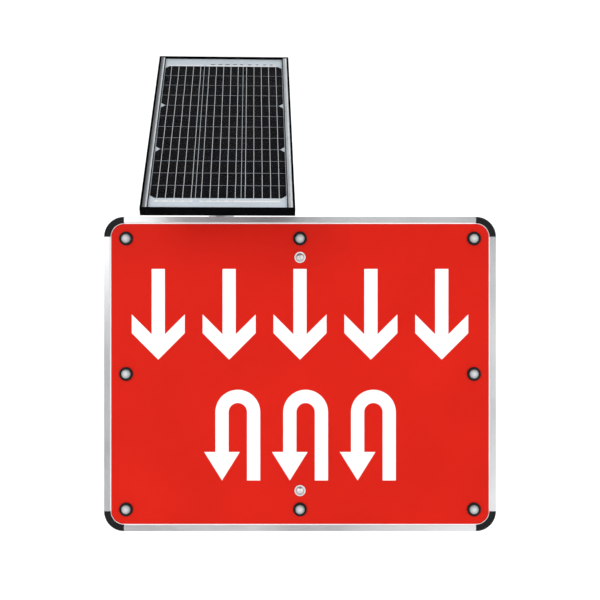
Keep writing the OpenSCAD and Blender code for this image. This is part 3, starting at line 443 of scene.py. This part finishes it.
# Widths of the softened edges, in millimetres
BEVELS = {
    "sign_blank": 0.2, "frame_top": 0.35, "frame_bottom": 0.35, "frame_left": 0.35, "frame_right": 0.35,
    "corner_caps": 0.5, "rail_upper": 0.5, "rail_lower": 0.5, "rail_brackets": 0.4, "mount_washers": 0.3,
    "mast_saddles": 1.0, "mast_clamps": 1.0, "clamp_nuts": 0.5, "clamp_bolts": 0.4, "cabinet_shell": 0.5,
    "cabinet_door": 0.8, "cabinet_brackets": 0.6, "cabinet_bands": 0.3, "battery": 1.2, "battery_strap": 0.3,
    "flash_controller": 0.9, "terminal_block": 0.5, "fuse_holder": 0.6, "power_rocker": 0.4,
    "swivel_head": 1.0, "tilt_bracket": 0.7, "tilt_bolts": 0.4, "tilt_nuts": 0.4, "panel_rails": 0.4,
    "panel_frame_ends": 0.4, "panel_frame_sides": 0.4, "panel_side_trims": 0.3, "junction_box": 0.9,
    "junction_lid": 0.7, "led_bezels": 0.4, "led_nuts": 0.4, "cable_glands": 0.4, "lock_barrel": 0.4,
    "lock_cam": 0.3, "mount_bolts": 0.25, "mount_nuts": 0.4,
}

slot_of = {part["node"]: part["material_slot"] for part in frame["record"]["subparts"]}
for name, node in NODES.items():
    look = MATERIALS[OWN_LOOK.get(name, slot_of[name])]
    for index in range(len(node.material_slots)):
        node.material_slots[index].material = look


def soften(obj, width_mm):
    """Joins the doubled points and rounds the sharp edges."""
    weld = obj.modifiers.new("weld", "WELD")
    weld.merge_threshold = 1e-6
    bevel = obj.modifiers.new("bevel", "BEVEL")
    bevel.width = width_mm * MM
    bevel.segments = 2
    bevel.limit_method = "ANGLE"
    bevel.angle_limit = math.radians(40)
    bevel.harden_normals = True


for name, width in BEVELS.items():
    soften(NODES[name], width)


# ---------------------------------------------------------------- mesh helpers

# A part that stands on another starts this far inside it
SINK = 0.3 * MM


def piece(name, bm, slot, body, look=None, bevel=0.0, sharp=35, stands_for=()):
    """Turns a bmesh into a piece that rides on a body and takes its finish from a slot."""
    bmesh.ops.recalc_face_normals(bm, faces=bm.faces)
    mesh = bpy.data.meshes.new(name)
    bm.to_mesh(mesh)
    bm.free()
    mesh.shade_smooth()
    mesh.set_sharp_from_angle(angle=math.radians(sharp))
    obj = bpy.data.objects.new(name, mesh)
    bpy.context.scene.collection.objects.link(obj)
    obj.data.materials.append(MATERIALS[look or slot])
    if bevel:
        soften(obj, bevel)
    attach(obj, body)
    if stands_for:
        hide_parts(*stands_for)


def add_box(bm, low, high):
    corners = [(x, y, z) for x in (low[0], high[0]) for y in (low[1], high[1]) for z in (low[2], high[2])]
    made = [bm.verts.new(c) for c in corners]
    for face in ((0, 1, 3, 2), (4, 6, 7, 5), (0, 4, 5, 1), (2, 3, 7, 6), (0, 2, 6, 4), (1, 5, 7, 3)):
        bm.faces.new([made[k] for k in face])


def loft(bm, rows):
    """A skin over rows of points, with a face at each end. Returns the faces along the sides."""
    sides = []
    for a, b in zip(rows, rows[1:]):
        for k in range(len(a)):
            j = (k + 1) % len(a)
            sides.append(bm.faces.new((a[k], a[j], b[j], b[k])))
    bm.faces.new(rows[0])
    bm.faces.new(rows[-1][::-1])
    return sides


def revolve(bm, profile, matrix, steps):
    """Turns a profile of (radius, height) points about the matrix's Z axis. A radius of 0 is one point."""
    rings = []
    for radius, height in profile:
        if radius < 1e-9:
            rings.append([bm.verts.new(matrix @ Vector((0, 0, height)))])
            continue
        ring = []
        for k in range(steps):
            angle = 2 * math.pi * k / steps
            point = Vector((radius * math.cos(angle), radius * math.sin(angle), height))
            ring.append(bm.verts.new(matrix @ point))
        rings.append(ring)
    for low, high in zip(rings, rings[1:]):
        for k in range(steps):
            j = (k + 1) % steps
            if len(low) == 1:
                bm.faces.new((low[0], high[k], high[j]))
            elif len(high) == 1:
                bm.faces.new((low[k], high[0], low[j]))
            else:
                bm.faces.new((low[k], high[k], high[j], low[j]))


def islands(node):
    """The boxes of a node's separate solids, as (lowest, highest) corners."""
    mesh = NODES[node].data
    keys, parent = {}, list(range(len(mesh.vertices)))

    def root(i):
        while parent[i] != i:
            parent[i] = parent[parent[i]]
            i = parent[i]
        return i

    for v in mesh.vertices:
        key = tuple(round(c * 1e5) for c in v.co)
        parent[root(v.index)] = root(keys.setdefault(key, v.index))
    for edge in mesh.edges:
        parent[root(edge.vertices[0])] = root(edge.vertices[1])
    groups = {}
    for v in mesh.vertices:
        groups.setdefault(root(v.index), []).append(v.co)
    boxes = []
    for points in groups.values():
        co = np.array([tuple(p) for p in points])
        boxes.append((Vector(co.min(0)), Vector(co.max(0))))
    return sorted(boxes, key=lambda b: tuple(round(c, 4) for c in b[0]))


# ---------------------------------------------------------------- stage

# The floor is a bowl: a disc, a bend and an upright wall, in metres
FLOOR_Z, FLOOR_R, BEND_R, WALL_TOP = -0.95, 3.0, 1.6, 6.0


def build_floor():
    bm = bmesh.new()
    profile = [(0, FLOOR_Z), (FLOOR_R / 2, FLOOR_Z), (FLOOR_R, FLOOR_Z)]
    profile += [(FLOOR_R + BEND_R * math.sin(a), FLOOR_Z + BEND_R * (1 - math.cos(a)))
                for a in np.linspace(0.1, math.pi / 2, 12)]
    profile += [(FLOOR_R + BEND_R, WALL_TOP)]
    revolve(bm, profile, Matrix(), 96)
    mesh = bpy.data.meshes.new("floor")
    bm.to_mesh(mesh)
    bm.free()
    mesh.shade_smooth()
    obj = bpy.data.objects.new("floor", mesh)
    bpy.context.scene.collection.objects.link(obj)
    pale = grained("pale floor", (0.78, 0.78, 0.78), (0.82, 0.82, 0.82), (0.7, 0.8), 0.0, 0.02, (1, 1, 1),
                   0.002, 0.01, Specular_IOR_Level=0.0, Emission_Color=(1.0, 1.0, 1.0),
                   Emission_Strength=0.35)
    obj.data.materials.append(pale.material)
    return obj


floor = build_floor()


# ---------------------------------------------------------------- solar panel

tilt = next(j for j in frame["joints"] if j["name"] == "panel_tilt")


def panel_frame():
    """The panel's own axes: X across, Y up the slope, Z out of the glass, from the centre of its face."""
    co = np.array([v.co for v in NODES["panel_glass"].data.vertices])
    centre = (co.min(0) + co.max(0)) / 2
    across = np.array(tilt["axis"], float)
    across /= np.linalg.norm(across)
    flat = (co - centre) - np.outer((co - centre) @ across, across)
    slope = np.linalg.svd(flat)[2][0]
    slope *= np.sign(slope[2])
    out = np.cross(across, slope)
    centre = centre + out * ((co - centre) @ out).max()
    return Matrix([[*row, c] for row, c in zip(np.array([across, slope, out]).T, centre)] + [[0, 0, 0, 1]])


PANEL = panel_frame()


def panel_box(node):
    """A node's lowest and highest corners in the panel's own axes."""
    back = PANEL.inverted()
    co = np.array([back @ v.co for v in NODES[node].data.vertices])
    return co.min(0), co.max(0)


# A wafer is cut into two columns and four rows of cells, and has cut corners
CELL_COLUMNS, CELL_ROWS, CELL_GAP = 3, 12, 1.0 * MM
ROWS_PER_WAFER = 4
WAFER_CUT = 8.5 * MM
cells_low, cells_high = panel_box("solar_cells")
pitch_x = (cells_high[0] - cells_low[0] + CELL_GAP) / CELL_COLUMNS
pitch_y = (cells_high[1] - cells_low[1] + CELL_GAP) / CELL_ROWS


def cell_outline(column, row):
    """A cell's corners. The cut ones fall on the outer columns, at the ends of a wafer's rows."""
    x0, y0 = cells_low[0] + column * pitch_x, cells_low[1] + row * pitch_y
    x1, y1 = x0 + pitch_x - CELL_GAP, y0 + pitch_y - CELL_GAP
    last = CELL_COLUMNS - 1
    corners = ((x0, y0, 0, row), (x1, y0, last, row), (x1, y1, last, row + 1), (x0, y1, 0, row + 1))
    points = []
    for x, y, outer, line in corners:
        if column == outer and line % ROWS_PER_WAFER == 0:
            sx, sy = (1 if x == x0 else -1), (1 if y == y0 else -1)
            cut = [(x, y + sy * WAFER_CUT), (x + sx * WAFER_CUT, y)]
            points += cut if (sx, sy) in ((1, 1), (-1, -1)) else cut[::-1]
        else:
            points.append((x, y))
    return points


def build_cells():
    rng = random.Random(11)
    bm = bmesh.new()
    uv = bm.loops.layers.uv.new("flat")
    tint = bm.faces.layers.float.new("tint")
    for column in range(CELL_COLUMNS):
        for row in range(CELL_ROWS):
            value = rng.random()
            outline = cell_outline(column, row)
            top = [bm.verts.new((x, y, cells_high[2])) for x, y in outline]
            bottom = [bm.verts.new((x, y, cells_low[2])) for x, y in outline]
            faces = [bm.faces.new(top), bm.faces.new(bottom[::-1])]
            for k in range(len(outline)):
                j = (k + 1) % len(outline)
                faces.append(bm.faces.new((top[k], bottom[k], bottom[j], top[j])))
            for face in faces:
                face[tint] = value
                for loop in face.loops:
                    loop[uv].uv = (loop.vert.co.x / MM, loop.vert.co.y / MM)
    bm.transform(PANEL)
    piece("cells", bm, "solar_cell", "panel", stands_for=("solar_cells",))


# The tabs: flat wires up each column. They dip between two cells and come up inside the cells' edges.
BUSBARS = 5
TAB_W, TAB_T = 1.05 * MM, 0.13 * MM
TAB_PITCH, TAB_COLUMN_PITCH = 15.7 * MM, 80.8 * MM
TAB_DIP, TAB_OVERHANG, TAB_RAMP = 0.18 * MM, 0.4 * MM, 1.5 * MM
TAB_SWAY = 0.25
TAB_PLACES = [(column - 1) * TAB_COLUMN_PITCH + (k - (BUSBARS - 1) / 2) * TAB_PITCH
              for column in range(CELL_COLUMNS) for k in range(BUSBARS)]

# The cross ribbons: start, end and, for the lower ones, width, in millimetres across the panel
UPPER_RIBBONS = ((-118, -44), (-38, 113))
LOWER_RIBBONS = ((-118, -46, 2.4), (-33, 27, 2.4), (28, 113, 4.4))
BUS_W, BUS_DEPTH, PATCH_W = 4.2 * MM, 0.17 * MM, 4.4 * MM
bus_top_y = cells_high[1] + 1.4 * MM + BUS_W / 2
bus_bottom_y = cells_low[1] - 9.5 * MM

TAPE_W, TAPE_GAP, TAPE_DEPTH = 2.6 * MM, 3.2 * MM, 0.2 * MM


def ribbon_strip(bm, points, width, thickness):
    """A flat wire along (x, y, z) points on the panel, with its width across the run."""
    first, last = Vector(points[0]), Vector(points[-1])
    side = Vector((0, 0, 1)).cross(last - first).normalized() * width / 2
    rows = []
    for point in points:
        low = Vector(point)
        high = low + Vector((0, 0, thickness))
        rows.append([bm.verts.new(p) for p in (low - side, high - side * 0.7, high + side * 0.7, low + side)])
    loft(bm, rows)


def cross_strip(bm, x0, x1, y, z, width, thickness=TAB_T):
    """A flat wire straight across the panel."""
    ribbon_strip(bm, [(x0, y, z), (x1, y, z)], width, thickness)


def build_tabs():
    rng = random.Random(5)
    bm = bmesh.new()
    dip = cells_high[2] - TAB_DIP
    for x in TAB_PLACES:
        points = [(x, bus_bottom_y, dip)]
        for row in range(CELL_ROWS):
            y0 = cells_low[1] + row * pitch_y
            y1 = y0 + pitch_y - CELL_GAP
            sway = rng.uniform(-TAB_SWAY, TAB_SWAY) * MM
            points += [(x, y0 - TAB_OVERHANG, dip), (x + sway, y0 + TAB_RAMP, cells_high[2]),
                       (x + sway, y1 - TAB_RAMP, cells_high[2])]
        points += [(x, cells_high[1] + TAB_OVERHANG, dip), (x, bus_top_y, dip)]
        ribbon_strip(bm, points, TAB_W, TAB_T)
    bm.transform(PANEL)
    piece("cell_tabs", bm, "solar_cell", "panel", "ribbon")


def build_cross_ribbons():
    """The two collecting ribbons in their lengths, with a solder patch where a tab meets the lower one."""
    rng = random.Random(8)
    bm = bmesh.new()
    z = cells_high[2] - BUS_DEPTH
    for x0, x1, width in LOWER_RIBBONS:
        cross_strip(bm, x0 * MM, x1 * MM, bus_bottom_y, z, width * MM)
    for x0, x1 in UPPER_RIBBONS:
        cross_strip(bm, x0 * MM, x1 * MM, bus_top_y, z, BUS_W)
    for x in TAB_PLACES:
        half = rng.uniform(2.0, 4.6) * MM
        cross_strip(bm, x - half, x + half, bus_bottom_y, z, PATCH_W, TAB_T * 1.6)
    bm.transform(PANEL)
    piece("cross_ribbons", bm, "backsheet", "panel", "bus_ribbon")


def build_tape():
    """Short dark pieces of tape above the upper ribbon, between the tabs; none over the first column."""
    rng = random.Random(21)
    bm = bmesh.new()
    y = bus_top_y + BUS_W / 2 + TAPE_GAP
    for x in TAB_PLACES[BUSBARS:-1]:
        start = x + rng.uniform(3.0, 4.5) * MM
        end = start + rng.uniform(5.5, 10) * MM
        cross_strip(bm, start, end, y, cells_high[2] - TAPE_DEPTH, TAPE_W)
    bm.transform(PANEL)
    piece("insulating_tape", bm, "rubber_seal", "panel")


trim_low, trim_high = panel_box("panel_side_trims")
STRIP_W = 8.5 * MM
SEAL_W, SEAL_T = 1.9 * MM, 0.45 * MM


def build_seal():
    """The dark bead of sealant along the inner edge of each glazing strip, a little uneven as run by hand."""
    rng = random.Random(3)
    bm = bmesh.new()
    inner = trim_high[0] - STRIP_W
    for side in (-1, 1):
        rows = []
        for y in np.linspace(trim_low[1] + MM, trim_high[1] - MM, 90):
            wander = rng.uniform(-0.12, 0.12) * MM
            edge = side * (inner + 0.1 * MM)
            far = side * (inner - SEAL_W + wander)
            section = ((edge, 0), (edge, SEAL_T * 1.5), ((edge + far) / 2, SEAL_T * 1.1), (far, 0))
            rows.append([bm.verts.new((x, y, z)) for x, z in section])
        loft(bm, rows)
    bm.transform(PANEL)
    piece("panel_sealant", bm, "rubber_seal", "panel")


build_cells()
build_tabs()
build_cross_ribbons()
build_tape()
build_seal()


# ---------------------------------------------------------------- lamps

LENS_R, DOME_H = 9.4 * MM, 4.2 * MM


def build_lenses():
    """A domed lens in the place of each plain one. The radius attribute runs from 0 in the middle to 1."""
    bm = bmesh.new()
    radius = bm.verts.layers.float.new("radius")
    for low, high in islands("led_lenses"):
        centre = ((low.x + high.x) / 2, high.y, (low.z + high.z) / 2)
        height = high.y - low.y
        rim = height - DOME_H
        matrix = Matrix.Translation(centre) @ Matrix.Rotation(math.radians(90), 4, "X")
        profile = [(0, 0), (LENS_R * 0.7, 0), (LENS_R, 0), (LENS_R, rim)]
        profile += [(LENS_R * math.cos(a), rim + DOME_H * math.sin(a)) for a in np.linspace(0.12, 1.45, 12)]
        profile += [(0, height)]
        before = len(bm.verts)
        revolve(bm, profile, matrix, 56)
        bm.verts.ensure_lookup_table()
        for v in bm.verts[before:]:
            v[radius] = min(1.0, math.hypot(v.co.x - centre[0], v.co.z - centre[2]) / LENS_R)
    piece("lamp_lenses", bm, "lamp_lens", "sign", sharp=50, stands_for=("led_lenses",))


build_lenses()


# ---------------------------------------------------------------- glazing strips and screws

# The left and the right strip: a section in millimetres across and out, and the painted light and shade of each
# facet
STRIPS = (
    (((0, 0), (0, 1.1), (0.6, 1.4), (3.2, 1.4), (5.6, 1.3), (6.2, 1.2), (8.0, 0.9), (8.5, 0.4), (8.5, 0)),
     (0.1, 0.1, 0.14, 0.3, 0.6, 1, 0.3, 0.1, 0.1)),
    (((0, 0), (0, 0.5), (0.5, 0.9), (4.0, 1.1), (5.6, 1.4), (7.9, 1.4), (8.5, 1.0), (8.5, 0)),
     (0.1, 0.3, 0.58, 0.75, 1.0, 0.5, 0.1, 0.1)),
)


def build_strips():
    """The two glazing strips: a flat with a small step and one facet with a painted highlight, the same way round
    on both; the other facets get painted shade.
    """
    bm = bmesh.new()
    painted_facet_light = bm.faces.layers.float.new("painted_facet_light")
    top = trim_high[2]
    for start, (section, shine) in zip((trim_low[0], trim_high[0] - STRIP_W), STRIPS):
        rows = [[bm.verts.new((start + x * MM, y, min(z * MM, top))) for x, z in section]
                for y in (trim_low[1], trim_high[1])]
        for face, value in zip(loft(bm, rows), shine):
            face[painted_facet_light] = value
    bm.transform(PANEL)
    piece("glazing_strips", bm, "aluminium_frame", "panel", "strip", sharp=20,
          stands_for=("panel_side_trims",))


def add_screw(bm, matrix, radius, height):
    """A low round head with a round socket, standing on the matrix's XY plane."""
    socket, deep = 0.38 * radius, 0.35 * height
    profile = [(0, deep), (socket, deep), (socket, height), (0.72 * radius, height)]
    profile += [(0.93 * radius, 0.7 * height), (radius, 0.3 * height), (radius, -SINK)]
    revolve(bm, profile, matrix, 20)


def facing_back(x, y, z):
    return Matrix.Translation((x, y, z)) @ Matrix.Rotation(math.radians(-90), 4, "X")


def build_junction_screws():
    bm = bmesh.new()
    low, high = panel_box("junction_lid")
    inset = 7 * MM
    for x in (low[0] + inset, high[0] - inset):
        for y in (low[1] + inset, high[1] - inset):
            matrix = PANEL @ Matrix.Translation((x, y, low[2])) @ Matrix.Rotation(math.pi, 4, "X")
            add_screw(bm, matrix, 3.2 * MM, 1.8 * MM)
    piece("junction_screws", bm, "stainless", "panel")


build_strips()
build_junction_screws()


# ---------------------------------------------------------------- cabinet

unit_low, unit_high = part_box("flash_controller")
block_low, block_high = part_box("terminal_block")
battery_low, battery_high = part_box("battery")
door_low, door_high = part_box("cabinet_door")
rocker_low, rocker_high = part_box("power_rocker")
RIBS, TERMINALS, VENTS, LOUVRES = 11, 8, 6, 4


def build_lock_grip():
    """The grip across the lock's face, so that its turn can be seen."""
    bm = bmesh.new()
    low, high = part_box("lock_barrel")
    x, z = (low.x + high.x) / 2, (low.z + high.z) / 2
    half_w, half_l, rise = 1.8 * MM, 7.5 * MM, 2.4 * MM
    add_box(bm, (x - half_w, high.y - SINK, z - half_l), (x + half_w, high.y + rise, z + half_l))
    piece("lock_grip", bm, "stainless", "door_lock", bevel=0.5)


def build_controller_face():
    """Cooling ribs on the left of the controller's cover and a raised rim round its switch."""
    bm = bmesh.new()
    face = unit_high.y
    left, right = unit_low.x + 16 * MM, rocker_low.x - 14 * MM
    rib_w, rib_rise, root, margin = 2.2 * MM, 3.2 * MM, 0.5 * MM, 10 * MM
    for x in np.linspace(left, right, RIBS):
        low = (x, face - root, unit_low.z + margin)
        add_box(bm, low, (x + rib_w, face + rib_rise, unit_high.z - margin))
    gap, rim, rise = 1.0 * MM, 1.6 * MM, 0.9 * MM
    x0, x1, z0, z1 = rocker_low.x - gap, rocker_high.x + gap, rocker_low.z - gap, rocker_high.z + gap
    for low, high in (((x0 - rim, z0 - rim), (x0, z1 + rim)), ((x1, z0 - rim), (x1 + rim, z1 + rim)),
                      ((x0, z0 - rim), (x1, z0)), ((x0, z1), (x1, z1 + rim))):
        add_box(bm, (low[0], face - SINK, low[1]), (high[0], face + rise, high[1]))
    piece("controller_ribs", bm, "controller_case", "sign", bevel=0.25)


def build_controller_screws():
    bm = bmesh.new()
    inset_x, inset_z = 11 * MM, 5 * MM
    for x in (unit_low.x + inset_x, unit_high.x - inset_x):
        for z in (unit_low.z + inset_z, unit_high.z - inset_z):
            add_screw(bm, facing_back(x, unit_high.y, z), 2.8 * MM, 1.6 * MM)
    piece("controller_screws", bm, "stainless", "sign")


def build_indicators():
    """Two domed lamps in collars under the switch, with their heights above the controller's foot."""
    collar = [(2.6, -0.3), (2.6, 0.5), (1.9, 0.7)]
    dome = [(1.9 * math.cos(a), 0.7 + 1.7 * math.sin(a)) for a in np.linspace(0.2, 1.3, 5)]
    profile = [(r * MM, h * MM) for r, h in collar + dome + [(0, 2.4)]]
    x = (rocker_low.x + rocker_high.x) / 2
    for name, look, height in (("charge_lamp", "green_lamp", 32), ("load_lamp", "amber_lamp", 20)):
        bm = bmesh.new()
        revolve(bm, profile, facing_back(x, unit_high.y, unit_low.z + height * MM), 20)
        piece(name, bm, "lamp_lens", "sign", look)


def build_terminal_screws():
    bm = bmesh.new()
    first, pitch = 8, 12
    for k in range(TERMINALS):
        x = block_low.x + (first + pitch * k) * MM
        add_screw(bm, facing_back(x, block_high.y, block_high.z - 4.2 * MM), 2.7 * MM, 1.2 * MM)
    piece("terminal_screws", bm, "stainless", "sign")


def build_battery_parts():
    """Vent caps on the lid, which is 7 mm below the blades' tips, and a coloured collar round each blade."""
    top = battery_high.z - 7 * MM
    bm = bmesh.new()
    middle = (battery_low.y + battery_high.y) / 2 + 6 * MM
    cap = [(0, 0.9 * MM), (5.2 * MM, 0.9 * MM), (6 * MM, 0.5 * MM), (6 * MM, -SINK)]
    for k in range(VENTS):
        x = battery_low.x + (battery_high.x - battery_low.x) * (k + 0.5) / VENTS
        revolve(bm, cap, Matrix.Translation((x, middle, top)), 28)
    piece("battery_vents", bm, "battery_case", "sign")
    blade_x = 62 * MM
    centre_x = (battery_low.x + battery_high.x) / 2
    y = battery_low.y + 12 * MM
    for side, name, slot in ((-1, "collar_negative", "terminal_plastic"),
                             (1, "collar_positive", "red_rocker")):
        bm = bmesh.new()
        x = centre_x + side * blade_x
        low = (x - 2.5 * MM, y - 3.5 * MM, top - SINK)
        add_box(bm, low, (x + 7.5 * MM, y + 4.4 * MM, top + 2.2 * MM))
        piece(name, bm, slot, "sign", bevel=0.5)


def build_louvres():
    """Two stacks of pressed louvres on the outside of the door. Each is a section, flattened at its ends."""
    bm = bmesh.new()
    section = ((-0.4, 0.8), (3.0, 0), (3.2, 0.8), (2.2, 3.6), (0.6, 6.6), (-0.4, 7.4))
    centre, half, end = (door_low.x + door_high.x) / 2, 42 * MM, 4 * MM
    stations = ((centre - half, 0.15), (centre - half + end, 1), (centre + half - end, 1),
                (centre + half, 0.15))
    pitch = 11
    for base in (door_high.z - 62 * MM, door_low.z + 26 * MM):
        for k in range(LOUVRES):
            z = base + pitch * k * MM
            rows = [[bm.verts.new((x, door_high.y + (y * rise if y > 0 else y) * MM, z + h * MM))
                     for y, h in section] for x, rise in stations]
            loft(bm, rows)
    piece("door_louvres", bm, "cabinet_paint", "door", sharp=50)


build_lock_grip()
build_controller_face()
build_controller_screws()
build_indicators()
build_terminal_screws()
build_battery_parts()
build_louvres()
